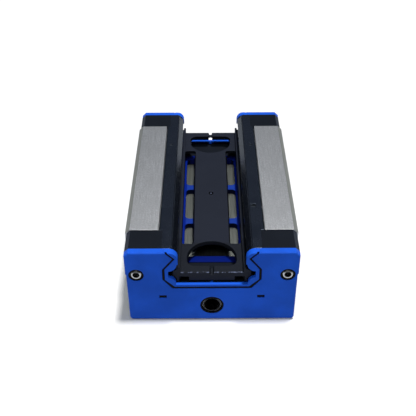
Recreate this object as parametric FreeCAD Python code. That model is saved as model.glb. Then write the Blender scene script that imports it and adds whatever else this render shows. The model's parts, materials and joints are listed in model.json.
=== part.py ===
import FreeCAD, Part
import math
import os

# Carriage of a profile-rail linear guide, lying on its mounting face with the rail channel upwards.
# X runs across the rail, Y along the travel and Z up; the front end faces -Y. Sizes are millimetres,
# and a depth is measured down from the tops of the two legs.

# Rail that the block runs on
rail_width = 34.0
rail_neck_inset = 3.95
rail_top_inset = 3.0
rail_top_drop = 0.35
rail_neck_groove_radius = 4.0
rail_top_groove_radius = 3.5

# Carriage body
body_width = 70.0
body_height = 37.0
body_length = 80.4
leg_chamfer = 1.85
foot_chamfer = 0.8
channel_step = 1.65
retainer_ledge = 2.25
mount_spacing_x = 50.0
mount_spacing_y = 50.0
mount_hole_radius = 3.4
mount_hole_depth = 12.0

# Balls and their return way
ball_diameter = 6.35
ball_gap = 0.02
row_outset = 0.55
lower_row_depth = 6.1
row_pitch = 10.0
raceway_gap = 0.1
turn_span = 9.9
lower_return_rise = 0.2
upper_return_drop = 2.9
channel_gap = 0.25
return_tube_wall = 0.4
return_tube_fit = 0.05
turn_core_height = 5.0
turn_core_fit = 0.05

# Ball retainers
retainer_gap = 0.15
retainer_fit = 0.3
retainer_drop = 0.1
retainer_thickness = 1.5
retainer_flat = 5.45
retainer_mouth_gap = 0.6
retainer_lip_depth = 5.6
retainer_slope_drop = 2.5
retainer_slope_sink = 0.2
retainer_groove_width = 0.4
retainer_groove_depth = 0.5
retainer_tip = 0.5
retainer_end_step = 1.75
retainer_dimple_radius = 0.8
retainer_dimple_depth = 0.4
retainer_dimple_y = 23.4
retainer_slot_length = 2.1
retainer_slot_width = 2.2
retainer_slot_depth = 0.9
retainer_slot_y = -24.2
ladder_sink = 0.95
ladder_thickness = 2.5
ladder_bar = 3.6
ladder_windows = 3
ladder_ball_inset = 2.35
ladder_side_bar = 3.45
ladder_corner = 2.0

# End caps, cover plates and wiper seals
cap_length = 11.3
cap_side_inset = 0.64
cap_top_inset = 0.1
cap_foot_gap = 0.6
cap_chamfer = 1.7
cap_corner = 1.3
cap_rail_gap = 0.9
cap_floor_gap = 1.3
plate_length = 2.9
plate_bevel = 0.4
plate_step_depth = 11.5
plate_step = 0.35
seal_rail_gap = 0.35
seal_lip = 1.5
seal_head_depth = 4.5
seal_mouth_round = 3.7
groove_width = 1.0
groove_cover = 0.25
groove_mouth = 0.8
rib_fit = 0.05
rib_sink = 0.1
rim_top_flare = 3.1
rim_neck_wall = 1.95
rim_neck_rise = 2.9
rim_waist_wall = 2.2
rim_waist_drop = 2.6
rim_waist_rise = 2.05
rim_floor_wall = 1.35
rim_floor_drop = 1.87
nub_width = 1.2
nub_length = 1.3
nub_height = 0.7
slot_centre_half = 19.85
slot_length = 3.0
slot_width = 1.5
slot_height = 13.6
tab_fit = 0.05
tab_sink = 0.3
boss_wall = 0.6
boss_fit = 0.05
boss_sink = 0.15

# End screws
screw_edge = 4.3
screw_depth = 11.6
screw_radius = 1.25
screw_grip = 8.0
screw_hole_gap = 0.2
screw_thread_gap = 0.02
head_radius = 2.25
head_height = 2.5
head_gap = 0.15
head_sink = 0.1
head_chamfer = 0.35
hex_width = 2.5
hex_depth = 1.2

# Grease port
port_height = 8.6
port_radius = 4.1
port_bore_radius = 3.0
port_fit = 0.05
port_sink = 0.35
port_length = 7.0
port_chamfer = 0.35
oil_way_radius = 1.25
oil_groove_width = 1.5
oil_groove_depth = 1.0

# Transport arbor
arbor_inset = 1.4
arbor_run_gap = 0.3
arbor_ridge_inset = 1.4
arbor_ridge_height = 2.6
arbor_ridge_drop = 4.5
arbor_wall = 0.95
arbor_wall_outset = 0.45
arbor_wall_drop = 2.6
arbor_foot_outset = 0.2
arbor_bottom_gap = 0.15
arbor_web_drop = 5.3
arbor_web = 1.5
arbor_end_web = 2.2
arbor_end_wall = 1.2
arbor_end_wall_half = 9.1
arbor_corner_half = 13.1
arbor_end_lift = 0.7
arbor_end_edge = 0.2
arbor_end_bevel = 0.3
arbor_slab_half = 7.3
arbor_rib = 1.2
arbor_rib_drop = 2.7
arbor_rib_flare = 0.75
arbor_window_overlap = 1.7
arbor_window_corner = 1.2
d_window_half = 10.2
d_window_length = 15.4
d_window_corner = 3.5
d_window_end_gap = 3.8
d_window_draft = 0.5
end_notch_top = 1.9
end_notch_bottom = 1.0
end_notch_depth = 1.4
end_hole_width = 1.8
end_hole_reach = 1.7
end_hole_rise = 0.4
gate_radius = 1.15
gate_pip_radius = 0.4
gate_depth = 0.7

# Values that follow from those above
body_half = body_width / 2
body_end = body_length / 2
cap_end = body_end + cap_length
block_end = cap_end + plate_length
cap_half = body_half - cap_side_inset
cap_bottom_depth = body_height - cap_foot_gap
ball_radius = ball_diameter / 2
rail_neck_half = rail_width / 2 - rail_neck_inset
rail_top_half = rail_width / 2 - rail_top_inset
row_half = rail_width / 2 + row_outset
upper_row_depth = lower_row_depth + row_pitch
rail_top_depth = upper_row_depth + rail_top_drop
channel_half = row_half + channel_step
retainer_half = channel_half + retainer_ledge
retainer_seat_depth = retainer_drop + retainer_thickness
ladder_depth = rail_top_depth + ladder_sink
channel_depth = ladder_depth + ladder_thickness
ladder_edge_half = row_half - ladder_ball_inset
ladder_window_half = ladder_edge_half - ladder_side_bar
retainer_mouth = rail_neck_half + retainer_mouth_gap
retainer_flat_end = retainer_half - retainer_flat
retainer_tip_depth = retainer_drop + retainer_slope_drop
return_half = row_half + turn_span
tube_bore_radius = ball_radius + channel_gap
tube_radius = tube_bore_radius + return_tube_wall
screw_half = cap_half - screw_edge
port_depth = body_height - port_height
port_boss_radius = port_radius + port_fit + boss_wall
screw_boss_radius = head_radius + head_gap + boss_wall
head_seat = -block_end + head_sink + head_height
slot_depth = body_height - slot_height
arbor_end = block_end - arbor_inset
arbor_outside = rail_neck_half + arbor_wall_outset
arbor_inside = arbor_outside - arbor_wall
arbor_web_top = lower_row_depth + arbor_web_drop
arbor_web_bottom = arbor_web_top + arbor_web
arbor_bottom = rail_top_depth - arbor_bottom_gap
arbor_end_bottom = arbor_bottom - arbor_end_lift
arbor_end_web_bottom = arbor_web_top + arbor_end_web
d_window_flat = arbor_end - d_window_end_gap
d_window_arch = d_window_flat - d_window_length
arbor_window_end = d_window_arch + arbor_window_overlap
far = 4 * body_width

# Each ring of balls by name: side, depth of the loaded row and depth of the return row
rings = {
    "left_lower": (-1, lower_row_depth, lower_row_depth - lower_return_rise),
    "right_lower": (1, lower_row_depth, lower_row_depth - lower_return_rise),
    "left_upper": (-1, upper_row_depth, upper_row_depth + upper_return_drop),
    "right_upper": (1, upper_row_depth, upper_row_depth + upper_return_drop),
}


def place(x, y, depth):
    """Point at a depth below the leg tops."""
    return FreeCAD.Vector(x, y, body_height - depth)


def rounded_wire(corners, radii):
    """Closed outline through the corner points, each corner rounded by its radius (0 leaves it sharp)."""
    ends = []
    for k, (corner, radius) in enumerate(zip(corners, radii)):
        to_last = (corners[k - 1] - corner).normalize()
        to_next = (corners[(k + 1) % len(corners)] - corner).normalize()
        half_angle = to_last.getAngle(to_next) / 2
        setback = radius / math.tan(half_angle)
        middle_way = (to_last + to_next).normalize()
        top = corner + middle_way * (radius / math.sin(half_angle) - radius)
        ends.append((corner + to_last * setback, top, corner + to_next * setback))
    edges = []
    for k, (start, top, end) in enumerate(ends):
        if radii[k] > 0:
            edges.append(Part.Arc(start, top, end).toShape())
        following = ends[(k + 1) % len(ends)][0]
        if end.distanceToPoint(following) > 1e-6:
            edges.append(Part.makeLine(end, following))
    return Part.Wire(edges)


def along(outline, y_low, y_high, radii=None):
    """Prism along Y from outline points (x, depth)."""
    corners = [place(x, y_low, depth) for x, depth in outline]
    wire = rounded_wire(corners, radii or [0] * len(corners))
    return Part.Face(wire).extrude(FreeCAD.Vector(0, y_high - y_low, 0))


def crosswise(outline, x_low, x_high):
    """Prism along X from outline points (y, depth)."""
    corners = [place(x_low, y, depth) for y, depth in outline]
    face = Part.Face(rounded_wire(corners, [0] * len(corners)))
    return face.extrude(FreeCAD.Vector(x_high - x_low, 0, 0))


def upright(outline, depth_low, depth_high, radii):
    """Prism along Z from plan points (x, y), between two depths."""
    corners = [place(x, y, depth_high) for x, y in outline]
    face = Part.Face(rounded_wire(corners, radii))
    return face.extrude(FreeCAD.Vector(0, 0, depth_high - depth_low))


def box(x_low, x_high, y_low, y_high, depth_low, depth_high):
    """Block between two depths."""
    corner = place(x_low, y_low, depth_high)
    return Part.makeBox(x_high - x_low, y_high - y_low, depth_high - depth_low, corner)


def bar(x, depth, radius, y_low, y_high):
    """Round bar along Y."""
    return Part.makeCylinder(radius, y_high - y_low, place(x, y_low, depth), FreeCAD.Vector(0, 1, 0))


def mirrored(outline):
    """Outline of both sides from the right half, listed from top to bottom."""
    return outline + [(-x, depth) for x, depth in reversed(outline)]


def joined(shapes):
    """One clean solid from overlapping shapes."""
    return shapes[0].fuse(shapes[1:]).removeSplitter()


def to_rear(shape):
    """Copy of a front piece turned half round about Z."""
    copy = shape.copy()
    copy.rotate(FreeCAD.Vector(0, 0, 0), FreeCAD.Vector(0, 0, 1), 180)
    return copy


def to_left(shape):
    """Copy of a right-hand piece mirrored in the middle plane."""
    return shape.mirror(FreeCAD.Vector(0, 0, 0), FreeCAD.Vector(1, 0, 0))


def rail_space(gap, y_low, y_high):
    """Space round the rail's section with a gap, open at the top of the legs."""
    ridge = rail_width / 2 + gap
    middle = (lower_row_depth + upper_row_depth) / 2
    neck = rail_neck_half + gap
    top = rail_top_half + gap
    waist = box(-ridge, ridge, y_low, y_high, lower_row_depth, upper_row_depth)
    lobes = []
    for side in (-1, 1):
        lobes.append(bar(side * row_half, lower_row_depth, rail_neck_groove_radius - gap, y_low, y_high))
        lobes.append(bar(side * row_half, upper_row_depth, rail_top_groove_radius - gap, y_low, y_high))
    mouth = box(-neck, neck, y_low, y_high, -body_height, middle)
    floor = box(-top, top, y_low, y_high, middle, rail_top_depth + gap)
    return joined([waist.cut(lobes), mouth, floor])


def row_bars(radius, y_low, y_high, depths=(lower_row_depth, upper_row_depth)):
    """Round bars along the loaded ball rows."""
    return [bar(side * row_half, depth, radius, y_low, y_high) for side in (-1, 1) for depth in depths]


def turn_frame(side, row_depth, return_depth):
    """Centre of a front turn, its radius and the axis that it goes round."""
    row = place(side * row_half, -body_end, row_depth)
    back = place(side * return_half, -body_end, return_depth)
    axis = (back - row).cross(FreeCAD.Vector(0, 1, 0)).normalize()
    return (row + back) / 2, row.distanceToPoint(back) / 2, axis


def turn_core_radius(turn_radius):
    """Radius of the half-round core's end faces, where the ball channel leaves it."""
    return turn_radius - math.sqrt(tube_bore_radius ** 2 - (turn_core_height / 2) ** 2)


def front_half(shape):
    """Part of a shape that lies in front of the body's front face."""
    return shape.common(box(-far, far, -far, -body_end, -far, far))


def turn_channel(ring):
    """Half ring that the balls run through in the front cap."""
    centre, radius, axis = turn_frame(*rings[ring])
    return front_half(Part.makeTorus(radius, tube_bore_radius, centre, axis))


def turn_core(ring, fit=0.0):
    """Half-round guide inside a front turn, grooved for the balls; with a fit it is the pocket for it."""
    centre, radius, axis = turn_frame(*rings[ring])
    height = turn_core_height + 2 * fit
    core = Part.makeCylinder(turn_core_radius(radius) + fit, height, centre - axis * height / 2, axis)
    if fit:
        return front_half(core)
    return front_half(core.cut(Part.makeTorus(radius, tube_bore_radius, centre, axis)))


def ball_ring(ring):
    """Balls spaced evenly round the loaded row, a turn, the return row and the other turn."""
    side, row_depth, return_depth = rings[ring]
    centre, radius, axis = turn_frame(side, row_depth, return_depth)
    outward = (place(side * return_half, 0, return_depth) - place(side * row_half, 0, row_depth)).normalize()
    middle = FreeCAD.Vector(centre.x, 0, centre.z)
    turn = math.pi * radius
    circuit = 2 * body_length + 2 * turn
    closest = 2 * radius * math.asin((ball_diameter + ball_gap) / (2 * radius))
    count = int(circuit / closest)
    balls = []
    for k in range(count):
        way = (k + 0.5) * circuit / count
        if way < body_length:
            across, y = -radius, way - body_end
        elif way < body_length + turn:
            angle = (way - body_length) / radius
            across, y = -radius * math.cos(angle), body_end + radius * math.sin(angle)
        elif way < 2 * body_length + turn:
            across, y = radius, body_end - (way - body_length - turn)
        else:
            angle = (way - 2 * body_length - turn) / radius
            across, y = radius * math.cos(angle), -body_end - radius * math.sin(angle)
        balls.append(Part.makeSphere(ball_radius, middle + outward * across + FreeCAD.Vector(0, y, 0)))
    return Part.makeCompound(balls)


def return_tube(ring):
    """Plastic sleeve that lines a return bore."""
    side, _, depth = rings[ring]
    outside = bar(side * return_half, depth, tube_radius, -body_end, body_end)
    return outside.cut(bar(side * return_half, depth, tube_bore_radius, -body_end, body_end))


def carriage_body():
    """Steel block with the rail channel, raceways, return bores and threaded holes."""
    outline = mirrored([
        (body_half - leg_chamfer, 0),
        (body_half, leg_chamfer),
        (body_half, body_height - foot_chamfer),
        (body_half - foot_chamfer, body_height),
    ])
    block = along(outline, -body_end, body_end)
    cuts = [
        box(-retainer_half, retainer_half, -body_end, body_end, -1, retainer_seat_depth),
        box(-channel_half, channel_half, -body_end, body_end, 0, channel_depth),
    ]
    cuts += row_bars(ball_radius + raceway_gap, -body_end, body_end)
    for side, _, depth in rings.values():
        cuts.append(bar(side * return_half, depth, tube_radius + return_tube_fit, -body_end, body_end))
    for side in (-1, 1):
        for end in (-1, 1):
            foot = FreeCAD.Vector(side * mount_spacing_x / 2, end * mount_spacing_y / 2, 0)
            cuts.append(Part.makeCylinder(mount_hole_radius, mount_hole_depth, foot))
        tapped = screw_radius + screw_thread_gap
        cuts.append(bar(side * screw_half, screw_depth, tapped, -body_end, screw_grip + 1 - body_end))
        cuts.append(bar(side * screw_half, screw_depth, tapped, body_end - screw_grip - 1, body_end))
    return block.cut(cuts).removeSplitter()


def end_block(y_low, y_high, shoulder):
    """Block with the outer outline of the ends; shoulder lists further corners down the right side."""
    right = [(cap_half - cap_chamfer, cap_top_inset), (cap_half, cap_top_inset + cap_chamfer)] + shoulder
    outline = mirrored(right + [(right[-1][0], cap_bottom_depth)])
    radii = [cap_corner if depth == cap_bottom_depth else 0 for _, depth in outline]
    return along(outline, y_low, y_high, radii)


def retainer_end_underside():
    """Underside of a strip's narrow ends, from its tip at the mouth to its outer edge."""
    return [
        (retainer_mouth + retainer_tip, retainer_tip_depth + retainer_tip),
        (retainer_flat_end - retainer_tip, retainer_seat_depth),
        (retainer_half - retainer_end_step, retainer_seat_depth),
    ]


def lower_retainer():
    """Black strip on the right leg: seals the leg's inner edge and holds the lower balls in."""
    slope = [
        (retainer_flat_end, retainer_drop),
        (retainer_flat_end - retainer_groove_width / 2, retainer_drop + retainer_groove_depth),
        (retainer_flat_end - retainer_groove_width, retainer_drop + retainer_slope_sink),
        (retainer_mouth, retainer_tip_depth),
    ]
    edge = retainer_half - retainer_fit
    long_part = [(edge, retainer_drop)] + slope + [
        (retainer_mouth, retainer_lip_depth),
        (channel_half, retainer_lip_depth),
        (channel_half, retainer_seat_depth),
        (edge, retainer_seat_depth),
    ]
    end_part = [(retainer_half - retainer_end_step, retainer_drop)] + slope
    end_part += [(retainer_mouth, retainer_tip_depth + retainer_tip)] + retainer_end_underside()
    pocket = row_bars(ball_radius + retainer_gap, -body_end, body_end, [lower_row_depth])
    strip = joined([along(long_part, -body_end, body_end), along(end_part, -cap_end, cap_end)])
    centre = (retainer_flat_end + retainer_half) / 2
    foot = place(centre, retainer_dimple_y, retainer_drop + retainer_dimple_depth)
    return strip.cut(pocket + [Part.makeCylinder(retainer_dimple_radius, far, foot)])


def retainer_slot():
    """Small moulded slot in the right strip's flat."""
    x_low = retainer_flat_end + retainer_tip
    y_low = retainer_slot_y - retainer_slot_width / 2
    return box(
        x_low, x_low + retainer_slot_length,
        y_low, y_low + retainer_slot_width,
        -1, retainer_drop + retainer_slot_depth,
    )


def upper_retainer():
    """Ladder on the channel's floor, its side bars hollowed for the upper balls."""
    plate = box(-ladder_edge_half, ladder_edge_half, -body_end, body_end, ladder_depth, channel_depth)
    cuts = row_bars(ball_radius + retainer_gap, -body_end, body_end, [upper_row_depth])
    pitch = (body_length - ladder_bar) / ladder_windows
    for k in range(ladder_windows):
        low = -body_end + ladder_bar + k * pitch
        high = low + pitch - ladder_bar
        half = ladder_window_half
        plan = [(-half, low), (half, low), (half, high), (-half, high)]
        cuts.append(upright(plan, ladder_depth, channel_depth, [ladder_corner] * 4))
    return plate.cut(cuts)


def end_cap():
    """Front cap: rail opening, ball turns, grease ways, seats for the strips, and the pad, rib, bosses
    and tabs that reach into the cover plate and the seal."""
    shapes = [end_block(-cap_end, -body_end, [])]
    shapes.append(seal_pad(-body_end, rib_fit))
    shapes.append(seal_groove(-block_end + rib_sink, -body_end, rib_fit))
    boss_front = -block_end + boss_sink
    shapes.append(bar(0, port_depth, port_boss_radius, boss_front, -body_end))
    for side in (-1, 1):
        shapes.append(bar(side * screw_half, screw_depth, screw_boss_radius, boss_front, -body_end))
        shapes.append(plate_slot(side, -block_end + tab_sink, -body_end, tab_fit))
    port_end = -block_end + port_sink + port_length
    floor_half = rail_top_half + cap_rail_gap
    floor_depth = rail_top_depth + cap_floor_gap
    half = oil_groove_width / 2
    groove_start = -body_end - oil_groove_depth
    cuts = [rail_space(cap_rail_gap, -block_end, -body_end)]
    cuts.append(box(-floor_half, floor_half, -block_end, -body_end, rail_top_depth, floor_depth))
    cuts += [turn_channel(ring) for ring in rings]
    cuts += [turn_core(ring, turn_core_fit) for ring in rings]
    cuts.append(bar(0, port_depth, port_radius + port_fit, -block_end, port_end))
    cuts.append(bar(0, port_depth, oil_way_radius, port_end, -body_end))
    cuts.append(box(-row_half, row_half, groove_start, -body_end, port_depth - half, port_depth + half))
    seat = [(0, -1), (0, retainer_tip_depth + retainer_tip)] + retainer_end_underside()
    seat.append((retainer_half - retainer_end_step, -1))
    for side in (-1, 1):
        cuts.append(along([(side * x, depth) for x, depth in seat], -cap_end, -body_end))
        cuts.append(bar(side * screw_half, screw_depth, head_radius + head_gap, -block_end, head_seat))
        cuts.append(bar(side * screw_half, screw_depth, screw_radius + screw_hole_gap, head_seat, -body_end))
        edge = side * row_half
        cuts.append(box(edge - half, edge + half, groove_start, -body_end, upper_row_depth, port_depth))
    return joined(shapes).cut(cuts).removeSplitter()


def plate_slot(side, y_low, y_high, fit=0.0):
    """Slot low beside the rim; with a fit it is the tab that fills it."""
    centre = side * slot_centre_half
    half_length = slot_length / 2 - fit
    half_width = slot_width / 2 - fit
    return box(
        centre - half_length, centre + half_length,
        y_low, y_high,
        slot_depth - half_width, slot_depth + half_width,
    )


def rim_outline(shift):
    """Outline of the seal's rim, moved outwards by shift."""
    neck = rail_neck_half + rim_neck_wall + shift
    waist = rail_width / 2 + rim_waist_wall + shift
    floor = rail_top_half + rim_floor_wall + shift
    return mirrored([
        (neck + rim_top_flare, cap_top_inset),
        (neck, lower_row_depth - rim_neck_rise),
        (waist, lower_row_depth + rim_waist_drop),
        (waist, upper_row_depth - rim_waist_rise),
        (floor, rail_top_depth + rim_floor_drop + shift),
    ])


def seal_groove(y_low, y_high, fit=0.0):
    """Groove round the seal's rim, covered at the top; with a fit it is the rib that stands in it."""
    half = groove_width / 2 - fit
    ring = along(rim_outline(half), y_low, y_high).cut(along(rim_outline(-half), y_low, y_high))
    return ring.common(box(-far, far, y_low, y_high, cap_top_inset + groove_cover + fit, far))


def seal_groove_mouth():
    """Open end of the groove at the top, next to the front face."""
    half = groove_width / 2
    back = -block_end + groove_mouth
    ring = along(rim_outline(half), -block_end, back).cut(along(rim_outline(-half), -block_end, back))
    return ring.common(box(-far, far, -block_end, back, 0, cap_top_inset + groove_cover))


def seal_pad(y_high, fit=0.0):
    """Room behind the thin part of the seal; with a fit it is the pad that fills it."""
    front = -block_end + seal_lip
    block = along(rim_outline(groove_width / 2 - fit), front, y_high)
    return block.common(box(-far, far, front, y_high, seal_head_depth + fit, far))


def plate_blank():
    """Block of the cover plate's outline, bevelled round its front."""
    step = [(cap_half, plate_step_depth), (cap_half - plate_step, plate_step_depth + plate_step)]
    blank = end_block(-block_end, -cap_end, step)
    front = [edge for edge in blank.Edges if edge.BoundBox.YMax < -block_end + 1e-6]
    return blank.makeChamfer(plate_bevel, front)


def end_plate():
    """Front cover plate with its openings for the seal, the cap's bosses and the cap's tabs."""
    cuts = [along(rim_outline(groove_width / 2), -block_end, -cap_end)]
    cuts.append(bar(0, port_depth, port_boss_radius + boss_fit, -block_end, -cap_end))
    for side in (-1, 1):
        cuts.append(bar(side * screw_half, screw_depth, screw_boss_radius + boss_fit, -block_end, -cap_end))
        cuts.append(plate_slot(side, -block_end, -cap_end))
    return plate_blank().cut(cuts)


def mouth_rounding(side, half):
    """What is cut off to round the top edge of one side of the seal's mouth."""
    radius = seal_mouth_round
    x_low, x_high = sorted((side * half, side * (half + radius)))
    corner = box(x_low, x_high, -block_end, -cap_end, cap_top_inset, cap_top_inset + radius)
    return corner.cut(bar(side * (half + radius), cap_top_inset + radius, radius, -block_end, -cap_end))


def wiper_seal():
    """Front wiper: a rim parted from the plate by a groove, thin below its head, and a nub behind its lip."""
    rim = along(rim_outline(groove_width / 2), -block_end, -cap_end)
    cuts = [seal_groove(-block_end, -cap_end), seal_groove_mouth(), seal_pad(-cap_end)]
    cuts.append(rail_space(seal_rail_gap, -block_end, -cap_end))
    cuts += [mouth_rounding(side, rail_neck_half + seal_rail_gap) for side in (-1, 1)]
    lip = rail_top_depth + seal_rail_gap
    nub_end = -block_end + seal_lip + nub_length
    nub = box(-nub_width / 2, nub_width / 2, -block_end + seal_lip / 2, nub_end, lip, lip + nub_height)
    return joined([rim.cut(cuts), nub]).common(plate_blank())


def end_screw(side):
    """Socket screw at the front, one side."""
    head_start = -block_end + head_sink
    head = bar(side * screw_half, screw_depth, head_radius, head_start, head_seat)
    rims = [edge for edge in head.Edges if edge.Closed and abs(edge.CenterOfMass.y - head_start) < 1e-6]
    head = head.makeChamfer(head_chamfer, rims)
    shank = bar(side * screw_half, screw_depth, screw_radius, head_seat, screw_grip - body_end)
    reach = hex_width / math.sqrt(3)
    corners = []
    for k in range(6):
        angle = math.radians(60 * k)
        corners.append((side * screw_half + reach * math.cos(angle), screw_depth + reach * math.sin(angle)))
    return joined([head, shank]).cut(along(corners, head_start, head_start + hex_depth))


def grease_port():
    """Front threaded bush for a grease nipple, pressed into the cap."""
    start = -block_end + port_sink
    bush = bar(0, port_depth, port_radius, start, start + port_length)
    bush = bush.cut(bar(0, port_depth, port_bore_radius, start, start + port_length))
    mouth = [edge for edge in bush.Edges if edge.Closed and abs(edge.CenterOfMass.y - start) < 1e-6]
    return bush.makeChamfer(port_chamfer, mouth)


def arbor_wall_section():
    """Outline of the arbor's right wall, with a ridge that keeps the balls in."""
    ridge = rail_width / 2 - arbor_ridge_inset
    ridge_top = lower_row_depth + arbor_ridge_drop
    ridge_bottom = ridge_top + arbor_ridge_height
    foot = rail_top_half + arbor_foot_outset
    return [
        (arbor_inside, lower_row_depth + arbor_wall_drop),
        (arbor_outside, lower_row_depth + arbor_wall_drop),
        (arbor_outside, ridge_top - (ridge - arbor_outside) / 2),
        (ridge, ridge_top),
        (ridge, ridge_bottom),
        (foot, ridge_bottom + ridge - foot),
        (foot, arbor_bottom),
        (arbor_inside, arbor_bottom),
    ]


def arbor_end_block():
    """Front end of the arbor: a thicker strip of web over an end wall that thins to its lower edge."""
    face = -arbor_end
    web_front = arbor_web_top + arbor_end_bevel
    web = crosswise([
        (face + arbor_end_bevel, arbor_web_top),
        (face, web_front),
        (face, arbor_end_web_bottom),
        (-d_window_flat, arbor_end_web_bottom),
        (-d_window_flat, arbor_web_top),
    ], -arbor_inside, arbor_inside)
    wall = crosswise([
        (face, web_front),
        (face, arbor_end_bottom),
        (face + arbor_end_edge, arbor_end_bottom),
        (face + arbor_end_wall, arbor_end_bottom - arbor_end_wall + arbor_end_edge),
        (face + arbor_end_wall, web_front),
    ], -arbor_end_wall_half, arbor_end_wall_half)
    return joined([web, wall])


def d_window(shift, depth):
    """Outline of the front D window at a depth, its sides and arch moved outwards by shift."""
    half = d_window_half + shift
    flat = -d_window_flat
    arch = -d_window_arch + shift
    corners = [place(x, y, depth) for x, y in ((-half, flat), (half, flat), (half, arch), (-half, arch))]
    corner = d_window_corner + shift
    return rounded_wire(corners, [corner, corner, half * 0.999, half * 0.999])


def arbor_end_cuts():
    """Cuts at the arbor's front end: the drafted D window, a notch in the edge and the lower corners."""
    window_ends = [d_window(0, arbor_web_top), d_window(-d_window_draft, arbor_web_bottom)]
    notch_floor = arbor_web_top + end_notch_depth
    notch = mirrored([(end_notch_top / 2, arbor_web_top), (end_notch_bottom / 2, notch_floor)])
    cuts = [Part.makeLoft(window_ends, True, True), along(notch, -arbor_end, -d_window_flat)]
    for side in (-1, 1):
        x_low, x_high = sorted((side * arbor_end_wall_half, side * arbor_corner_half))
        wall_back = arbor_end_wall - arbor_end
        cuts.append(box(x_low, x_high, -arbor_end, wall_back, arbor_end_web_bottom, arbor_bottom))
    return cuts


def arbor_end_hole():
    """Round-ended cut in the rear D window's flat edge, with a passage from it through the end wall."""
    half = end_hole_width / 2
    centre = d_window_flat + end_hole_reach - half
    passage_top = arbor_end_web_bottom - end_hole_rise
    passage = box(-half, half, d_window_flat, arbor_end, passage_top, arbor_end_bottom)
    edge_cut = box(-half, half, d_window_flat, centre, arbor_web_top, arbor_end_bottom)
    round_end = Part.makeCylinder(half, arbor_end_web, place(0, centre, arbor_end_web_bottom))
    return joined([passage, edge_cut, round_end])


def transport_arbor():
    """Dummy rail: two ridged walls joined by a windowed web, with end walls."""
    wall = along(arbor_wall_section(), -arbor_end, arbor_end)
    wall = wall.cut(row_bars(ball_radius + arbor_run_gap, -arbor_end, arbor_end))
    web_end = arbor_end - arbor_end_bevel
    web = box(-arbor_inside, arbor_inside, -web_end, web_end, arbor_web_top, arbor_web_bottom)
    end_block = arbor_end_block()
    shapes = [web, wall, to_left(wall), end_block, to_rear(end_block)]
    gate_floor = place(0, 0, arbor_web_top + gate_depth)
    gate = Part.makeCylinder(gate_radius, gate_depth, gate_floor)
    cuts = [gate.cut(Part.makeCylinder(gate_pip_radius, gate_depth, gate_floor)), arbor_end_hole()]
    half = arbor_window_end
    for side in (-1, 1):
        near = side * arbor_slab_half
        rib = side * arbor_rib
        flare = side * arbor_rib_flare
        rib_foot = arbor_web_bottom + arbor_rib_drop
        rib_outline = [
            (near - rib, arbor_web_bottom), (near, arbor_web_bottom),
            (near + flare, rib_foot), (near + flare - rib, rib_foot),
        ]
        shapes.append(along(rib_outline, -half, half))
        plan = [(near, -half), (side * arbor_inside, -half), (side * arbor_inside, half), (near, half)]
        cuts.append(upright(plan, arbor_web_top, arbor_web_bottom, [arbor_window_corner] * 4))
    for cut in arbor_end_cuts():
        cuts += [cut, to_rear(cut)]
    return joined(shapes).cut(cuts).removeSplitter()


right_strip = lower_retainer()

nodes = {
    "carriage_body": carriage_body(),
    "left_lower_retainer": to_left(right_strip),
    "right_lower_retainer": right_strip.cut(retainer_slot()),
    "upper_retainer": upper_retainer(),
    "transport_arbor": transport_arbor(),
}
for piece, shape in (
    ("end_cap", end_cap()),
    ("end_plate", end_plate()),
    ("wiper_seal", wiper_seal()),
    ("grease_port", grease_port()),
):
    nodes["front_" + piece] = shape
    nodes["rear_" + piece] = to_rear(shape)
for side_name, side in (("left", -1), ("right", 1)):
    nodes["front_" + side_name + "_screw"] = end_screw(side)
    nodes["rear_" + side_name + "_screw"] = to_rear(end_screw(-side))
for ring in rings:
    nodes[ring + "_balls"] = ball_ring(ring)
    nodes[ring + "_return_tube"] = return_tube(ring)
    nodes["front_" + ring + "_turn_core"] = turn_core(ring)
    opposite = {"left": "right", "right": "left"}[ring.split("_")[0]] + "_" + ring.split("_")[1]
    nodes["rear_" + ring + "_turn_core"] = to_rear(turn_core(opposite))

os.makedirs("parts", exist_ok=True)
for name, shape in nodes.items():
    shape.exportStep("parts/" + name + ".step")
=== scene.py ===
import json
import math

import bpy
import numpy as np
from bpy.props import FloatProperty, FloatVectorProperty, PointerProperty
from mathutils import Matrix, Vector


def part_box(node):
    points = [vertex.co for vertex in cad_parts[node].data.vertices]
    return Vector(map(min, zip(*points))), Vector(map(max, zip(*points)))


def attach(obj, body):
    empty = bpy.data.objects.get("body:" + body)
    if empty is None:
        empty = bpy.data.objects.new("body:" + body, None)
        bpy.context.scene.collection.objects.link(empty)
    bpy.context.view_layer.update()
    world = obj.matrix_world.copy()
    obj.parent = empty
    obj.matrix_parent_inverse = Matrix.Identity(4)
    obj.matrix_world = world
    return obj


bl_info = {
    "name": "Linear guide block",
    "version": (1, 0, 0),
    "blender": (4, 5, 0),
    "location": "View3D > Sidebar > Guide Block",
    "description": "Finishes, threads and stage for a profile-rail guide block",
    "category": "Object",
}

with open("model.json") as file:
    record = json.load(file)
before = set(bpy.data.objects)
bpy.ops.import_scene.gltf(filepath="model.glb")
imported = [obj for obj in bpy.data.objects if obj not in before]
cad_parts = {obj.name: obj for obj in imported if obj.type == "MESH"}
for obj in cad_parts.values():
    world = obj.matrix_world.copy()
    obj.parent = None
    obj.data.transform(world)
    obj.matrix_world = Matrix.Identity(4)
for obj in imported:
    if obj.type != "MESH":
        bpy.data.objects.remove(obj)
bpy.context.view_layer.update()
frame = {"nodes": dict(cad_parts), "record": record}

# Words that the nodes' names are put together from
ENDS = ("front", "rear")
SIDES = ("left", "right")
RINGS = ("left_lower", "right_lower", "left_upper", "right_upper")

# Picture frame that the camera's focal length was measured in
PICTURE_SIDE = 416
SENSOR_WIDTH = 36.0

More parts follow.
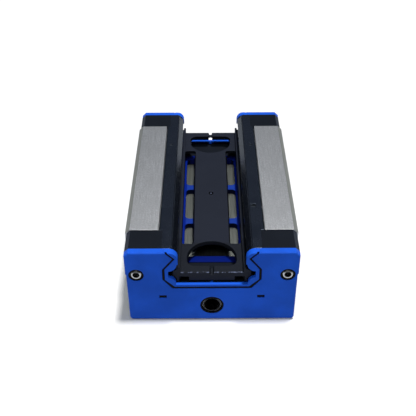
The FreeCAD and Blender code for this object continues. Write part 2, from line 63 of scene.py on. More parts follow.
# Axes of the round pieces at the ends: the grease ports and the end screws
PORT_LOW, PORT_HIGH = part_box("front_grease_port")
PORT_AXIS_Z = (PORT_LOW.z + PORT_HIGH.z) / 2
SCREW_LOW, SCREW_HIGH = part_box("front_right_screw")
SCREW_AXIS_X = (SCREW_LOW.x + SCREW_HIGH.x) / 2
SCREW_AXIS_Z = (SCREW_LOW.z + SCREW_HIGH.z) / 2

# Holes that get a thread, from the record's mounts, and the room for the threads in them
MOUNTS = {mount["name"]: mount["dims"] for mount in frame["record"]["mounts"]}
PORT_BORE = MOUNTS["front_grease_thread"]["r_mm"] / 1000
PORT_THREAD_INSET = 0.0007
BOLTS = MOUNTS["mounting_bolts"]
MOUNT_THREAD_ROOM = 0.0105

# Places on the pieces where a finish, a painted shade or a painted highlight changes
STRIP_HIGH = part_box("right_lower_retainer")[1]
STRIP_RIM = STRIP_HIGH.x - 0.0006
STRIP_SUNK = STRIP_HIGH.z - 0.00008
STRIP_FLAT = 0.0167
CHANNEL_HALF = STRIP_HIGH.x - 0.00195
LADDER_SIDE = 0.0113
LADDER_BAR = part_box("upper_retainer")[1].y - 0.0038
PLATE_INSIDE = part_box("rear_end_plate")[0].y + 0.0003
ARBOR_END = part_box("transport_arbor")[1].y
ARBOR_FRONT_WEB = -0.034
GATE_RADIUS = 0.00115
GATE_PIP = 0.0004


def tint(label, words, value):
    """Colour property."""
    return FloatVectorProperty(
        name=label, description=words, subtype="COLOR", size=3, min=0, max=1, default=value)


def length(label, words, value):
    """Length property in metres."""
    return FloatProperty(name=label, description=words, unit="LENGTH", precision=5, min=0, default=value)


def angle(label, words, degrees):
    """Angle property."""
    return FloatProperty(name=label, description=words, subtype="ANGLE", default=math.radians(degrees))


def power(label, words, watts):
    """Light power property."""
    return FloatProperty(name=label, description=words, unit="POWER", default=watts)


class GuideBlockColours(bpy.types.PropertyGroup):
    """Base colours of the block's finishes and of its painted shades."""

    plate_blue: tint("Plate blue", "Moulded blue of the end plates", (0.0118, 0.103, 0.68))
    seal_blue: tint("Seal blue", "Blue of the wiper seals", (0.0130, 0.116, 0.76))
    ladder_blue: tint("Ladder blue", "Blue of the upper ball retainer", (0.0105, 0.039, 0.29))
    # Painted shade: the ladder's side bars and end bars take this deeper blue.
    ladder_shade: tint("Ladder end", "Deeper blue of the upper retainer's end bars", (0.0010, 0.0090, 0.138))
    cap_black: tint("Cap black", "Black of the end caps", (0.0084, 0.0106, 0.0160))
    strip_black: tint("Strip black", "Black of the lower ball retainers", (0.0058, 0.0066, 0.0112))
    arbor_black: tint("Arbor black", "Black of the transport arbor", (0.0156, 0.0188, 0.0300))
    # Painted shade laid over half of the arbor's front web.
    arbor_front_shade: tint("Arbor front", "Greyer black of the arbor's front web", (0.0070, 0.0082, 0.0090))
    ground_steel: tint("Ground steel", "Bright ground faces of the body", (0.625, 0.63, 0.645))
    # Darker steel inside the channel.
    channel_steel: tint("Darker steel", "Darker steel inside the channel", (0.20, 0.212, 0.195))
    milled_steel: tint("Milled steel", "Chamfered edges of the body", (0.40, 0.40, 0.36))
    screw_steel: tint("Screw steel", "Bright end screws", (0.46, 0.45, 0.44))
    port_steel: tint("Port steel", "Blackened bush of the grease ports", (0.018, 0.019, 0.022))
    ball_steel: tint("Ball steel", "Polished balls", (0.70, 0.71, 0.73))
    natural_plastic: tint("Natural plastic", "Ball ways inside the block", (0.72, 0.70, 0.64))
    floor: tint("Floor", "Pale floor", (0.92, 0.92, 0.92))
    floor_sheen: tint("Floor sheen", "Floor as glossy faces mirror it", (0.90, 0.94, 1.0))


class GuideBlockSizes(bpy.types.PropertyGroup):
    """Sizes of the small detail."""

    port_pitch: length("Port pitch", "Pitch of the grease ports' thread", 0.00075)
    port_thread_depth: length("Port thread depth", "Height of the grease ports' thread", 0.00042)
    mould_grain: length("Mould grain", "Size of the fine grain on moulded plastic", 0.00030)
    grinding_line: length("Grinding line", "Width of a grinding line on steel", 0.00020)
    # Also the width of the painted glint along edges.
    edge_radius: length("Edge radius", "Rounding and wear along edges", 0.00025)
    mount_pitch: length("Mount pitch", "Pitch of the mounting holes' thread", 0.00125)
    mount_thread_depth: length("Mount thread depth", "Height of the mounting holes' thread", 0.00055)


class GuideBlockView(bpy.types.PropertyGroup):
    """Camera and lights."""

    camera_place: FloatVectorProperty(
        name="Camera place", description="Where the camera stands", subtype="TRANSLATION", size=3,
        precision=5, default=(-0.001532, -0.256308, 0.214074))
    pitch: angle("Pitch", "How far the camera looks down", 37.548)
    yaw: angle("Yaw", "How far the camera looks to the right", 0.025)
    roll: angle("Roll", "How far the camera leans", 0.263)
    focal_pixels: FloatProperty(
        name="Focal length", description="Focal length in pixels of the picture", min=1, default=695.683)
    key_direction: FloatVectorProperty(
        name="Key direction", description="From the block towards the key light", subtype="DIRECTION", size=3,
        default=(0.12, 0.0, 0.993))
    key_distance: length("Key distance", "From the block to the key light", 1.6)
    key_size: length("Key size", "Width of the key light", 0.16)
    key_power: power("Key power", "Key light in watts", 23.0)
    fill_power: power("Fill power", "Panel above the front in watts", 5.4)
    rear_power: power("Rear power", "Bluish rear panel in watts", 0.15)
    sheen_power: power("Sheen power", "Light that only shows as sheen, in watts", 1.1)
    sky: FloatProperty(name="Sky", description="Strength of the light all round", min=0, default=0.08)


class GuideBlockSettings(bpy.types.PropertyGroup):
    """All that a user would change."""

    colours: PointerProperty(type=GuideBlockColours)
    sizes: PointerProperty(type=GuideBlockSizes)
    view: PointerProperty(type=GuideBlockView)


def settings():
    """Settings of the open scene."""
    return bpy.context.scene.guide_block


def add(tree, kind, inputs=None, **properties):
    """New shader node; inputs are values or other nodes' outputs, by socket name or number."""
    node = tree.nodes.new("ShaderNode" + kind)
    for key, value in properties.items():
        setattr(node, key, value)
    for key, value in (inputs or {}).items():
        if isinstance(value, bpy.types.NodeSocket):
            tree.links.new(value, node.inputs[key])
        else:
            node.inputs[key].default_value = value
    return node


def calc(tree, operation, *values):
    """Output of a Math node."""
    return add(tree, "Math", dict(enumerate(values)), operation=operation).outputs[0]


def ramp(tree, value, low, high, start=0.0, end=1.0):
    """Output that goes smoothly from start to end as value goes from low to high."""
    inputs = {0: value, 1: low, 2: high, 3: start, 4: end}
    return add(tree, "MapRange", inputs, interpolation_type="SMOOTHSTEP").outputs[0]


def past(tree, value, limit, soft):
    """Mask that goes from 0 to 1 over the length soft beyond limit, or below it if soft is negative."""
    return ramp(tree, value, limit, limit + soft)


def blend(tree, factor, first, second):
    """Colour output mixed from first to second by factor."""
    return add(tree, "Mix", {0: factor, 6: first, 7: second}, data_type="RGBA").outputs[2]


def shaded(colour, share):
    """Colour with its brightness times share, as a socket's value."""
    return (*(min(1.0, c * share) for c in colour), 1.0)


def object_place(tree):
    """Coordinates in the block's own frame."""
    return add(tree, "TexCoord").outputs["Object"]


def axes(tree, vector):
    """X, Y and Z outputs of a vector output."""
    return add(tree, "SeparateXYZ", {0: vector}).outputs


def face_normal(tree):
    """X, Y and Z outputs of the face's own normal."""
    return axes(tree, add(tree, "NewGeometry").outputs["True Normal"])


def stretched(tree, lengths):
    """The block's coordinates divided by a length on each axis."""
    scale = add(tree, "CombineXYZ", dict(enumerate(calc(tree, "DIVIDE", 1.0, size) for size in lengths)))
    inputs = {0: object_place(tree), 1: scale.outputs[0]}
    return add(tree, "VectorMath", inputs, operation="MULTIPLY").outputs[0]


def noise(tree, place, detail, scale=1.0):
    """Value of a noise texture."""
    return add(tree, "TexNoise", {"Vector": place, "Scale": scale, "Detail": detail}).outputs[0]


def new_group(name, inputs, outputs, vectors=()):
    """Shader node group with number sockets, vector outputs besides, and its two end nodes."""
    group = bpy.data.node_groups.new(name, "ShaderNodeTree")
    for label, value in inputs.items():
        socket = group.interface.new_socket(label, in_out="INPUT", socket_type="NodeSocketFloat")
        socket.default_value = value
    for label in outputs:
        group.interface.new_socket(label, in_out="OUTPUT", socket_type="NodeSocketFloat")
    for label in vectors:
        group.interface.new_socket(label, in_out="OUTPUT", socket_type="NodeSocketVector")
    return group, group.nodes.new("NodeGroupInput"), group.nodes.new("NodeGroupOutput")


def make_mould_grain():
    """Fine moulded texture, with broad clouds where the plastic flowed in."""
    group, given, made = new_group("Mould grain", {"Grain": 0.0003}, ("Height", "Cloud"))
    size = given.outputs["Grain"]
    place = stretched(group, (size, size, size))
    group.links.new(noise(group, place, detail=3.0), made.inputs["Height"])
    cloud = ramp(group, noise(group, place, detail=4.0, scale=0.02), 0.3, 0.7)
    group.links.new(cloud, made.inputs["Cloud"])


def make_handling_marks():
    """Hair-thin scratches and soft smudges from handling."""
    group, given, made = new_group("Handling marks", {"Spacing": 0.006}, ("Scratch", "Smudge"))
    size = given.outputs["Spacing"]
    place = stretched(group, (size, size, size))
    turned = add(group, "Mapping", {"Vector": place, "Rotation": (0.5, 0.3, 0.6), "Scale": (6.0, 0.35, 1.5)})
    lines = noise(group, turned.outputs[0], detail=2.0)
    thin = calc(group, "COMPARE", lines, 0.5, 0.004)
    patch = ramp(group, noise(group, place, detail=1.0, scale=0.7), 0.52, 0.62)
    group.links.new(calc(group, "MULTIPLY", thin, patch), made.inputs["Scratch"])
    smudge = ramp(group, noise(group, place, detail=3.0, scale=0.35), 0.45, 0.75)
    group.links.new(smudge, made.inputs["Smudge"])


def make_edge_wear():
    """Rounded normal along edges, and a mask of how far it turns there, broken up by noise."""
    group, given, made = new_group("Edge wear", {"Radius": 0.00025}, ("Mask",), ("Normal",))
    rounded = add(group, "Bevel", {"Radius": given.outputs["Radius"]}, samples=6).outputs[0]
    flat = add(group, "NewGeometry").outputs["Normal"]
    likeness = add(group, "VectorMath", {0: rounded, 1: flat}, operation="DOT_PRODUCT").outputs["Value"]
    turn = ramp(group, calc(group, "SUBTRACT", 1.0, likeness), 0.02, 0.25)
    patches = noise(group, object_place(group), detail=2.0, scale=900.0)
    broken = ramp(group, patches, 0.3, 0.6, start=0.35)
    group.links.new(calc(group, "MULTIPLY", turn, broken), made.inputs["Mask"])
    group.links.new(rounded, made.inputs["Normal"])


def make_grinding_lines():
    """Fine lines left by the grinding wheel along the travel, fine speckle and broad clouds."""
    group, given, made = new_group("Grinding lines", {"Width": 0.0001}, ("Height", "Speckle", "Cloud"))
    width = given.outputs["Width"]
    run = calc(group, "MULTIPLY", width, 60.0)
    speck = calc(group, "MULTIPLY", width, 2.0)
    group.links.new(noise(group, stretched(group, (width, run, width)), detail=2.0), made.inputs["Height"])
    group.links.new(noise(group, stretched(group, (speck, speck, speck)), detail=3.0), made.inputs["Speckle"])
    cloud = noise(group, stretched(group, (run, run, run)), detail=2.0)
    group.links.new(ramp(group, cloud, 0.35, 0.65), made.inputs["Cloud"])


def make_turned_rings():
    """Rings left by turning, round an axis along the travel; the radius comes out too."""
    sockets = {"Axis X": 0.0, "Axis Z": 0.0, "Spacing": 0.0002}
    group, given, made = new_group("Turned rings", sockets, ("Height", "Radius"))
    place = axes(group, object_place(group))
    across = calc(group, "SUBTRACT", calc(group, "ABSOLUTE", place["X"]), given.outputs["Axis X"])
    rise = calc(group, "SUBTRACT", place["Z"], given.outputs["Axis Z"])
    squares = calc(group, "ADD", calc(group, "POWER", across, 2.0), calc(group, "POWER", rise, 2.0))
    radius = calc(group, "SQRT", squares)
    wobble = calc(group, "MULTIPLY", noise(group, object_place(group), detail=1.0, scale=700.0), 1.5)
    turns = calc(group, "ADD", calc(group, "DIVIDE", radius, given.outputs["Spacing"]), wobble)
    wave = calc(group, "SINE", calc(group, "MULTIPLY", turns, 2 * math.pi))
    group.links.new(wave, made.inputs["Height"])
    group.links.new(radius, made.inputs["Radius"])


def effect(tree, name, **values):
    """Shared effect placed in a material, with its values by socket name (spaces written as underscores)."""
    node = tree.nodes.new("ShaderNodeGroup")
    node.node_tree = bpy.data.node_groups[name]
    for key, value in values.items():
        node.inputs[key.replace("_", " ")].default_value = value
    return node.outputs


def new_material(name, **constants):
    """Material with a Principled shader; constants are values that are the same all over."""
    material = bpy.data.materials.new(name)
    material.use_nodes = True
    tree = material.node_tree
    shader = tree.nodes["Principled BSDF"]
    for key, value in constants.items():
        shader.inputs[key.replace("_", " ")].default_value = value
    return material, tree, shader


def relief(tree, shader, height, strength, distance, normal):
    """Bump from a height output, on edges rounded by a normal output."""
    inputs = {"Height": height, "Strength": strength, "Distance": distance, "Normal": normal}
    bump = add(tree, "Bump", inputs)
    tree.links.new(bump.outputs[0], shader.inputs["Normal"])


def recolour(tree, mask, colour):
    """Mixes the shader's base colour with another where a mask output is 1."""
    base = tree.nodes["Principled BSDF"].inputs["Base Color"]
    tree.links.new(blend(tree, mask, base.links[0].from_socket, colour), base)


def moulded_plastic(name, colour, rough, edge_glint_share, cloud_share, gloss, painted_wall_shade=1.0, wall_slope=0.4):
    """Moulded plastic: fine grain, faint flow clouds, scratches, edges lightened as wear and painted glint,
    and upright walls in a painted shade of the tops' colour.
    """
    sizes = settings().sizes
    material, tree, shader = new_material(name, Specular_IOR_Level=gloss)
    grain = effect(tree, "Mould grain", Grain=sizes.mould_grain)
    marks = effect(tree, "Handling marks")
    wear = effect(tree, "Edge wear", Radius=sizes.edge_radius)
    # Painted shade: upright walls get the tops' colour times a share, darker or lighter than the tops.
    level = ramp(tree, face_normal(tree)["Z"], wall_slope - 0.15, wall_slope + 0.15)
    low, high = 1 - cloud_share, 1 + cloud_share
    tops = blend(tree, grain["Cloud"], shaded(colour, low), shaded(colour, high))
    walls = blend(tree, grain["Cloud"], shaded(colour, low * painted_wall_shade), shaded(colour, high * painted_wall_shade))
    base = blend(tree, level, walls, tops)
    scratched = blend(tree, calc(tree, "MULTIPLY", marks["Scratch"], 0.25), base, shaded(colour, 1.8))
    # Edges are lightened, partly as wear and partly as a painted glint.
    glinted_edges = blend(tree, wear["Mask"], scratched, shaded(colour, edge_glint_share))
    tree.links.new(glinted_edges, shader.inputs["Base Color"])
    smudged = ramp(tree, marks["Smudge"], 0.0, 1.0, start=rough, end=rough - 0.06)
    grained = calc(tree, "ADD", smudged, calc(tree, "MULTIPLY", grain["Height"], 0.06))
    rubbed = calc(tree, "ADD", grained, calc(tree, "MULTIPLY", wear["Mask"], 0.35))
    tree.links.new(rubbed, shader.inputs["Roughness"])
    relief(tree, shader, grain["Height"], strength=0.3, distance=0.00002, normal=wear["Normal"])
    return material


def ladder_plastic(colour, shade_colour):
    """Moulded blue of the ladder, with painted shade: a deeper blue on its sides and its two end bars, and
    nearly black walls.
    """
    material = moulded_plastic(
        "ladder_plastic", colour, rough=0.45, edge_glint_share=1.15, cloud_share=0.06, gloss=0.04, painted_wall_shade=0.1)
    tree = material.node_tree
    place = axes(tree, object_place(tree))
    reach = calc(tree, "ABSOLUTE", place["Y"])
    across = calc(tree, "ABSOLUTE", place["X"])
    # Painted shade on the side bars, under the arbor's walls.
    recolour(tree, past(tree, across, LADDER_SIDE, soft=0.0002), shaded(shade_colour, 1.65))
    # Painted shade on the two end bars, under the arbor's end webs.
    recolour(tree, past(tree, reach, LADDER_BAR, soft=0.0003), shaded(shade_colour, 1.0))
    return material


def cap_plastic(colour):
    """Moulded black of the end caps, with a painted highlight on their chamfers and painted shade where they
    show in the plates' holes.
    """
    material = moulded_plastic(
        "cap_plastic", colour, rough=0.42, edge_glint_share=1.8, cloud_share=0.08, gloss=0.05)
    tree = material.node_tree
    # Painted highlight on the chamfers.
    normal = face_normal(tree)
    slant = calc(tree, "MULTIPLY", calc(tree, "ABSOLUTE", normal["X"]), normal["Z"])
    recolour(tree, ramp(tree, slant, 0.3, 0.45), shaded(colour, 2.6))
    # Painted shade where the caps show in the plates' holes, slots and grooves.
    reach = calc(tree, "ABSOLUTE", axes(tree, object_place(tree))["Y"])
    recolour(tree, past(tree, reach, PLATE_INSIDE, soft=0.0002), shaded(colour, 0.1))
    return material


def strip_plastic(colour):
    """Glossy moulded black of the strips, with painted shade along their outer edges and in their moulded
    recesses, which are also dull.
    """
    material = moulded_plastic(
        "strip_plastic", colour, rough=0.24, edge_glint_share=1.8, cloud_share=0.08, gloss=0.9,
        painted_wall_shade=0.5, wall_slope=0.75)
    tree = material.node_tree
    shader = tree.nodes["Principled BSDF"]
    shader.inputs["Specular Tint"].default_value = (0.64, 0.79, 1.0, 1.0)
    place = axes(tree, object_place(tree))
    across = calc(tree, "ABSOLUTE", place["X"])
    # Painted shade along the outer edges, in the gap beside the steel.
    recolour(tree, past(tree, across, STRIP_RIM, soft=0.0003), shaded(colour, 0.1))
    # Painted shade in the moulded recesses, which are also rougher.
    sunk = past(tree, place["Z"], STRIP_SUNK, soft=-0.00008)
    flat = past(tree, across, STRIP_FLAT, soft=0.0001)
    recess = calc(tree, "MULTIPLY", sunk, flat)
    recolour(tree, recess, shaded(colour, 0.03))
    rough = shader.inputs["Roughness"]
    dulled = calc(tree, "ADD", rough.links[0].from_socket, calc(tree, "MULTIPLY", recess, 0.6))
    tree.links.new(dulled, rough)
    return material


def arbor_plastic(colour, front_shade_colour):
    """Moulded black of the arbor: painted shade in its gate mark's ring and over its front web, painted
    highlights on the pip and end bevels.
    """
    material = moulded_plastic(
        "arbor_plastic", colour, rough=0.46, edge_glint_share=3.0, cloud_share=0.05, gloss=0.08,
        painted_wall_shade=0.4, wall_slope=0.75)
    tree = material.node_tree
    place = axes(tree, object_place(tree))
    squares = (calc(tree, "POWER", place[axis], 2.0) for axis in ("X", "Y"))
    radius = calc(tree, "SQRT", calc(tree, "ADD", *squares))
    # Painted shade in the ring of the gate mark's recess, and a painted highlight on its pip.
    recolour(tree, past(tree, radius, GATE_RADIUS, soft=-0.0001), shaded(colour, 0.02))
    recolour(tree, past(tree, radius, GATE_PIP, soft=-0.0001), shaded(colour, 6.0))
    # Painted shade over the front web, blended half way to a greyer black.
    front = past(tree, place["Y"], ARBOR_FRONT_WEB, soft=-0.002)
    recolour(tree, calc(tree, "MULTIPLY", front, 0.5), shaded(front_shade_colour, 1.0))
    # End faces keep nine tenths of the colour, lighter than the painted shade on the other walls.
    reach = calc(tree, "ABSOLUTE", place["Y"])
    recolour(tree, past(tree, reach, ARBOR_END - 0.00015, soft=0.0001), shaded(colour, 0.9))
    # Painted highlight: broken bright dashes on the bevels along the ends' top edges.
    normal = face_normal(tree)
    slant = calc(tree, "MULTIPLY", calc(tree, "ABSOLUTE", normal["Y"]), normal["Z"])
    ends = past(tree, reach, ARBOR_END - 0.0005, soft=0.0002)
    bevel = calc(tree, "MULTIPLY", ramp(tree, slant, 0.3, 0.45), ends)
    broken = ramp(tree, noise(tree, object_place(tree), detail=2.0, scale=1000.0), 0.4, 0.65)
    recolour(tree, calc(tree, "MULTIPLY", bevel, broken), shaded(colour, 9.0))
    return material


def ground_steel():
    """Body steel: ground along the travel, darker in the channel, milled on its chamfers, edges lightened as
    wear and painted glint.
    """
    colours, sizes = settings().colours, settings().sizes
    material, tree, shader = new_material("ground_steel", Metallic=1.0)
    lines = effect(tree, "Grinding lines", Width=sizes.grinding_line)
    wear = effect(tree, "Edge wear", Radius=sizes.edge_radius)
    normal = face_normal(tree)
    streak = ramp(tree, lines["Height"], 0.25, 0.75)
    speckle = ramp(tree, lines["Speckle"], 0.3, 0.7)
    bright = blend(tree, streak, shaded(colours.ground_steel, 0.76), shaded(colours.ground_steel, 1.26))
    fine = blend(tree, calc(tree, "MULTIPLY", speckle, 0.8), bright, shaded(colours.ground_steel, 0.66))
    cloud = calc(tree, "MULTIPLY", lines["Cloud"], 0.5)
    clouded = blend(tree, cloud, fine, shaded(colours.ground_steel, 0.80))
    slant = calc(tree, "MULTIPLY", *(calc(tree, "ABSOLUTE", normal[axis]) for axis in ("X", "Z")))
    milled = blend(tree, ramp(tree, slant, 0.2, 0.4), clouded, shaded(colours.milled_steel, 1.0))
    across = calc(tree, "ABSOLUTE", axes(tree, object_place(tree))["X"])
    inside = past(tree, across, CHANNEL_HALF + 0.0001, soft=-0.0001)
    # Darker steel inside the channel.
    channel_tone = blend(tree, streak, shaded(colours.channel_steel, 0.75), shaded(colours.channel_steel, 1.2))
    channel_toned = blend(tree, inside, milled, channel_tone)
    # Edges lightened, partly as wear and partly as a painted glint.
    edged = blend(tree, calc(tree, "MULTIPLY", wear["Mask"], 0.6), channel_toned, shaded(colours.ground_steel, 1.2))
    tree.links.new(edged, shader.inputs["Base Color"])
    tree.links.new(ramp(tree, speckle, 0.0, 1.0, start=0.43, end=0.49), shader.inputs["Roughness"])
    relief(tree, shader, lines["Height"], strength=0.25, distance=0.00001, normal=wear["Normal"])
    return material


def turned_metal(name, colour, axis_x, axis_z, recess_radius, glint, edge, shade_height):
    """Turned metal: rings round its axis, painted shade in the middle recess and over its top, and edges with
    a painted glint.
    """
    material, tree, shader = new_material(name)
    rings = effect(tree, "Turned rings", Axis_X=axis_x, Axis_Z=axis_z)
    marks = effect(tree, "Handling marks", Spacing=0.002)
    wear = effect(tree, "Edge wear", Radius=edge)
    band = ramp(tree, rings["Height"], -1.0, 1.0)
    face = blend(tree, band, shaded(colour, 0.85), shaded(colour, 1.08))
    # Painted glint on the edges, where the shader is also less metallic.
    glinted_edges = blend(tree, wear["Mask"], face, shaded(colour, glint))
    tree.links.new(glinted_edges, shader.inputs["Base Color"])
    # Painted shade in the recess in the middle.
    recess = past(tree, rings["Radius"], recess_radius, soft=-0.1 * recess_radius)
    recolour(tree, recess, shaded(colour, 0.05))
    # Painted shade over the top, above the axis.
    height = axes(tree, object_place(tree))["Z"]
    recolour(tree, past(tree, height, axis_z + shade_height, soft=0.0007), shaded(colour, 0.2))
    tree.links.new(ramp(tree, wear["Mask"], 0.0, 1.0, start=1.0, end=0.3), shader.inputs["Metallic"])
    tree.links.new(ramp(tree, marks["Smudge"], 0.0, 1.0, start=0.3, end=0.45), shader.inputs["Roughness"])
    relief(tree, shader, rings["Height"], strength=0.15, distance=0.00001, normal=wear["Normal"])
    return material


def polished_balls(colour):
    """Polished bearing balls under a thin film of oil."""
    material, tree, shader = new_material("polished_balls", Metallic=1.0)
    marks = effect(tree, "Handling marks", Spacing=0.003)
    filmed = blend(tree, marks["Smudge"], shaded(colour, 1.0), shaded(colour, 0.85))
    tree.links.new(filmed, shader.inputs["Base Color"])
    tree.links.new(ramp(tree, marks["Smudge"], 0.0, 1.0, start=0.06, end=0.16), shader.inputs["Roughness"])
    return material


def dress(material, *nodes):
    """Gives CAD nodes a material."""
    for node in nodes:
        frame["nodes"][node].data.materials.clear()
        frame["nodes"][node].data.materials.append(material)


def both_ends(piece):
    """Names of a piece at the two ends."""
    return [end + "_" + piece for end in ENDS]


def place_in_scene(name, data):
    """New object with the data, at the origin of the open scene."""
    thing = bpy.data.objects.new(name, data)
    bpy.context.scene.collection.objects.link(thing)
    return thing


def thread_ridge(name, centre, along, across, pitch, turns, wall_radius, depth):
    """Ridge of a thread on the wall of a bore, as a profile carried along a helix.

    At turning angle a the ridge is at pitch * a / (2 pi) along the bore. Its profile starts in the wall,
    rises inwards by depth to a narrow crest and returns to the wall. The depth grows and fades as a
    smooth step over the first and last half turn.
    """
    turning = np.linspace(0, 2 * math.pi * turns, int(turns * 40) + 1)
    inlet = np.clip(np.minimum(turning, turning[-1] - turning) / math.pi, 0, 1)
    fade = inlet ** 2 * (3 - 2 * inlet)
    offset = np.array([-0.46, -0.07, 0.07, 0.46]) * pitch
    inward = np.array([-0.1, 1.0, 1.0, -0.1]) * depth
    radius = wall_radius - np.where(inward > 0, np.outer(fade, inward), inward)
    travel = (turning * pitch / (2 * math.pi))[:, None] + offset
    along, across = Vector(along), Vector(across)
    third = np.array(along.cross(across))
    points = (
        np.array(centre)
        + travel[..., None] * np.array(along)
        + (radius * np.cos(turning)[:, None])[..., None] * np.array(across)
        + (radius * np.sin(turning)[:, None])[..., None] * third
    )
    steps, width = radius.shape
    row, column = np.meshgrid(np.arange(steps - 1), np.arange(width), indexing="ij")
    here, beside = row * width + column, row * width + (column + 1) % width
    sides = np.stack([here, beside, beside + width, here + width], axis=-1).reshape(-1, 4)
    caps = np.array([[3, 2, 1, 0], np.arange(4) + (steps - 1) * width])
    mesh = bpy.data.meshes.new(name)
    mesh.from_pydata(points.reshape(-1, 3).tolist(), [], np.concatenate([sides, caps]).tolist())
    mesh.update()
    return place_in_scene(name, mesh)


def lay_floor(colour, sheen):
    """Pale floor: bright to the camera and in glossy faces, darker in the light that it throws back."""
    half = 3.0
    mesh = bpy.data.meshes.new("floor")
    corners = [(-half, -half), (half, -half), (half, half), (-half, half)]
    mesh.from_pydata([(x, y, -0.00005) for x, y in corners], [], [(0, 1, 2, 3)])
    floor = place_in_scene("floor", mesh)
    material, tree, shader = new_material(
        "pale_floor", Roughness=0.9, Specular_IOR_Level=0.0, Emission_Strength=1.0)
    path = add(tree, "LightPath").outputs
    seen = path["Is Camera Ray"]
    bounced = blend(tree, path["Is Glossy Ray"], shaded(colour, 0.55), shaded(sheen, 1.0))
    tree.links.new(blend(tree, seen, bounced, shaded(colour, 1.0)), shader.inputs["Base Color"])
    away = add(tree, "VectorMath", {0: object_place(tree)}, operation="LENGTH").outputs["Value"]
    glow = blend(tree, ramp(tree, away, 0.2, 0.8), shaded(colour, 0.05), shaded(colour, 1.0))
    tree.links.new(blend(tree, seen, shaded(colour, 0.0), glow), shader.inputs["Emission Color"])
    mesh.materials.append(material)


def hang_light(name, place, size, watts, colour):
    """Oblong light that faces the block and is seen only in reflections."""
    data = bpy.data.lights.new(name, "AREA")
    data.shape = "RECTANGLE"
    data.size, data.size_y = size
    data.energy = watts
    data.color = colour
    light = place_in_scene(name, data)
    light.location = place
    light.rotation_euler = Vector(place).to_track_quat("Z", "Y").to_euler()
    light.visible_camera = False
    return light


def light_sky(strength):
    """Soft bluish light from all round, seen as a pale wall."""
    world = bpy.data.worlds.new("studio")
    bpy.context.scene.world = world
    world.use_nodes = True
    tree = world.node_tree
    seen = add(tree, "LightPath").outputs["Is Camera Ray"]
    sky = shaded((0.62, 0.80, 1.0), strength)
    wall = (1.0, 1.0, 1.0, 1.0)
    tree.links.new(blend(tree, seen, sky, wall), tree.nodes["Background"].inputs["Color"])


def place_camera(view):
    """Camera at the picture's place, pitch, yaw and roll."""
    data = bpy.data.cameras.new("camera")
    data.sensor_width = SENSOR_WIDTH
    data.lens = view.focal_pixels / PICTURE_SIDE * SENSOR_WIDTH
    data.clip_start = 0.01
    camera = place_in_scene("camera", data)
    camera.matrix_world = (
        Matrix.Translation(view.camera_place)
        @ Matrix.Rotation(-view.yaw, 4, "Z")
        @ Matrix.Rotation(math.pi / 2 - view.pitch, 4, "X")
        @ Matrix.Rotation(-view.roll, 4, "Z")
    )
    bpy.context.scene.camera = camera


class GUIDE_OT_effects(bpy.types.Operator):
    """Make the shared effects that the finishes use"""

    bl_idname = "guide_block.effects"
    bl_label = "Shared effects"

    def execute(self, context):
        make_mould_grain()
        make_handling_marks()
        make_edge_wear()
        make_grinding_lines()
        make_turned_rings()
        return {"FINISHED"}


class GUIDE_OT_body(bpy.types.Operator):
    """Finish the steel body"""

    bl_idname = "guide_block.body"
    bl_label = "Steel body"

    def execute(self, context):
        dress(ground_steel(), "carriage_body")
        return {"FINISHED"}


class GUIDE_OT_black_mouldings(bpy.types.Operator):
    """Finish the end caps, the lower retainers and the transport arbor"""

    bl_idname = "guide_block.black_mouldings"
    bl_label = "Black mouldings"

    def execute(self, context):
        colours = settings().colours
        dress(cap_plastic(colours.cap_black), *both_ends("end_cap"))
        dress(strip_plastic(colours.strip_black), *(side + "_lower_retainer" for side in SIDES))
        dress(arbor_plastic(colours.arbor_black, colours.arbor_front_shade), "transport_arbor")
        return {"FINISHED"}


class GUIDE_OT_blue_mouldings(bpy.types.Operator):
    """Finish the end plates, the wiper seals and the upper retainer"""

    bl_idname = "guide_block.blue_mouldings"
    bl_label = "Blue mouldings"

    def execute(self, context):
        colours = settings().colours
        # Painted shade: the plates' tops are a little darker than their walls.
        plate = moulded_plastic(
            "plate_plastic", colours.plate_blue, rough=0.48, edge_glint_share=1.15, cloud_share=0.13, gloss=0.08,
            painted_wall_shade=1.08)
        dress(plate, *both_ends("end_plate"))
        seal = moulded_plastic(
            "seal_plastic", colours.seal_blue, rough=0.5, edge_glint_share=1.15, cloud_share=0.06, gloss=0.08)
        dress(seal, *both_ends("wiper_seal"))
        dress(ladder_plastic(colours.ladder_blue, colours.ladder_shade), "upper_retainer")
        return {"FINISHED"}


class GUIDE_OT_fittings(bpy.types.Operator):
    """Finish the end screws and the grease ports"""

    bl_idname = "guide_block.fittings"
    bl_label = "Screws and ports"

    def execute(self, context):
        colours = settings().colours
        screw = turned_metal(
            "screw_metal_finish", colours.screw_steel, SCREW_AXIS_X, SCREW_AXIS_Z,
            recess_radius=0.0015, glint=1.4, edge=0.0002, shade_height=0.0007)
        dress(screw, *(name for side in SIDES for name in both_ends(side + "_screw")))
        port = turned_metal(
            "port_metal_finish", colours.port_steel, 0.0, PORT_AXIS_Z,
            recess_radius=0.0036, glint=55.0, edge=0.0005, shade_height=0.0025)
        dress(port, *both_ends("grease_port"))
        return {"FINISHED"}


class GUIDE_OT_ball_circuits(bpy.types.Operator):
    """Finish the balls, their return tubes and the turn cores"""

    bl_idname = "guide_block.ball_circuits"
    bl_label = "Ball circuits"

    def execute(self, context):
        colours = settings().colours
        dress(polished_balls(colours.ball_steel), *(ring + "_balls" for ring in RINGS))
        natural = moulded_plastic(
            "natural_plastic", colours.natural_plastic, rough=0.4, edge_glint_share=1.1, cloud_share=0.04,
            gloss=0.4)
        dress(natural, *(ring + "_return_tube" for ring in RINGS))
        dress(natural, *(name for ring in RINGS for name in both_ends(ring + "_turn_core")))
        return {"FINISHED"}


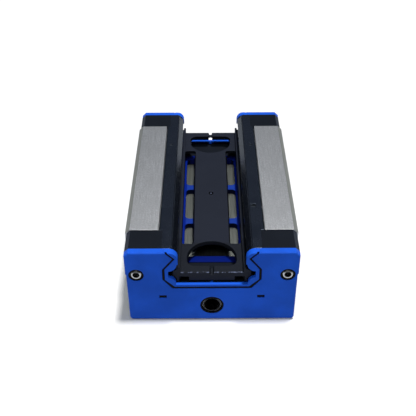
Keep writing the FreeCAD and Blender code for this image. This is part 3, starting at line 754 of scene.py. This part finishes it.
class GUIDE_OT_port_threads(bpy.types.Operator):
    """Wind the thread inside each grease port"""

    bl_idname = "guide_block.port_threads"
    bl_label = "Port threads"

    def execute(self, context):
        sizes = settings().sizes
        room = PORT_HIGH.y - PORT_LOW.y - 2 * PORT_THREAD_INSET - sizes.port_pitch
        for end, name in zip((-1, 1), both_ends("port_thread")):
            mouth = end * (abs(PORT_LOW.y) - PORT_THREAD_INSET - sizes.port_pitch / 2)
            piece = thread_ridge(
                name, (0, mouth, PORT_AXIS_Z), (0, -end, 0), (1, 0, 0),
                sizes.port_pitch, room / sizes.port_pitch, PORT_BORE, sizes.port_thread_depth)
            piece.data.materials.append(bpy.data.materials["port_metal_finish"])
            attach(piece, "carriage")
        return {"FINISHED"}


class GUIDE_OT_mount_threads(bpy.types.Operator):
    """Wind the thread inside each mounting hole"""

    bl_idname = "guide_block.mount_threads"
    bl_label = "Mounting threads"

    def execute(self, context):
        sizes = settings().sizes
        pitch = sizes.mount_pitch
        wall = BOLTS["hole_r_mm"] / 1000
        half_x, half_y = BOLTS["spacing_x_mm"] / 2000, BOLTS["spacing_y_mm"] / 2000
        for end, sign_y in zip(ENDS, (-1, 1)):
            for side, sign_x in zip(SIDES, (-1, 1)):
                piece = thread_ridge(
                    end + "_" + side + "_mount_thread", (sign_x * half_x, sign_y * half_y, pitch),
                    (0, 0, 1), (1, 0, 0),
                    pitch, (MOUNT_THREAD_ROOM - pitch) / pitch, wall, sizes.mount_thread_depth)
                piece.data.materials.append(bpy.data.materials["ground_steel"])
                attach(piece, "carriage")
        return {"FINISHED"}


class GUIDE_OT_stage(bpy.types.Operator):
    """Lay the floor, hang the lights and set the camera up"""

    bl_idname = "guide_block.stage"
    bl_label = "Floor, lights and camera"

    def execute(self, context):
        colours, view = settings().colours, settings().view
        lay_floor(colours.floor, colours.floor_sheen)
        hang_light(
            "key", place=Vector(view.key_direction).normalized() * view.key_distance,
            size=(view.key_size, view.key_size), watts=view.key_power, colour=(1.0, 0.985, 0.96))
        hang_light(
            "front_fill", place=(-0.1, -0.78, 1.28), size=(0.6, 0.4), watts=view.fill_power,
            colour=(0.95, 0.98, 1.0))
        hang_light(
            "rear_panel", place=(0, 1.2, 0.85), size=(1.6, 0.6), watts=view.rear_power,
            colour=(0.35, 0.60, 1.0))
        sheen = hang_light(
            "sheen", place=(0, 0.24, 0.76), size=(0.2, 0.2), watts=view.sheen_power,
            colour=(0.97, 0.98, 1.0))
        sheen.visible_diffuse = False
        light_sky(view.sky)
        place_camera(view)
        context.scene.view_settings.view_transform = "Standard"
        return {"FINISHED"}


STEPS = (
    GUIDE_OT_effects,
    GUIDE_OT_body,
    GUIDE_OT_black_mouldings,
    GUIDE_OT_blue_mouldings,
    GUIDE_OT_fittings,
    GUIDE_OT_ball_circuits,
    GUIDE_OT_port_threads,
    GUIDE_OT_mount_threads,
    GUIDE_OT_stage,
)


class GUIDE_PT_panel(bpy.types.Panel):
    """Steps and settings of the guide block"""

    bl_label = "Guide block"
    bl_space_type = "VIEW_3D"
    bl_region_type = "UI"
    bl_category = "Guide Block"

    def draw(self, context):
        block = context.scene.guide_block
        for group in (block.colours, block.sizes, block.view):
            for name in group.__annotations__:
                self.layout.prop(group, name)
        for step in STEPS:
            self.layout.operator(step.bl_idname)


GROUPS = (GuideBlockColours, GuideBlockSizes, GuideBlockView, GuideBlockSettings)
CLASSES = GROUPS + STEPS + (GUIDE_PT_panel,)


def register():
    for cls in CLASSES:
        bpy.utils.register_class(cls)
    bpy.types.Scene.guide_block = PointerProperty(type=GuideBlockSettings)


def unregister():
    del bpy.types.Scene.guide_block
    for cls in reversed(CLASSES):
        bpy.utils.unregister_class(cls)


def main():
    register()
    bpy.ops.guide_block.effects()
    bpy.ops.guide_block.body()
    bpy.ops.guide_block.black_mouldings()
    bpy.ops.guide_block.blue_mouldings()
    bpy.ops.guide_block.fittings()
    bpy.ops.guide_block.ball_circuits()
    bpy.ops.guide_block.port_threads()
    bpy.ops.guide_block.mount_threads()
    bpy.ops.guide_block.stage()


if __name__ == "__main__":
    main()
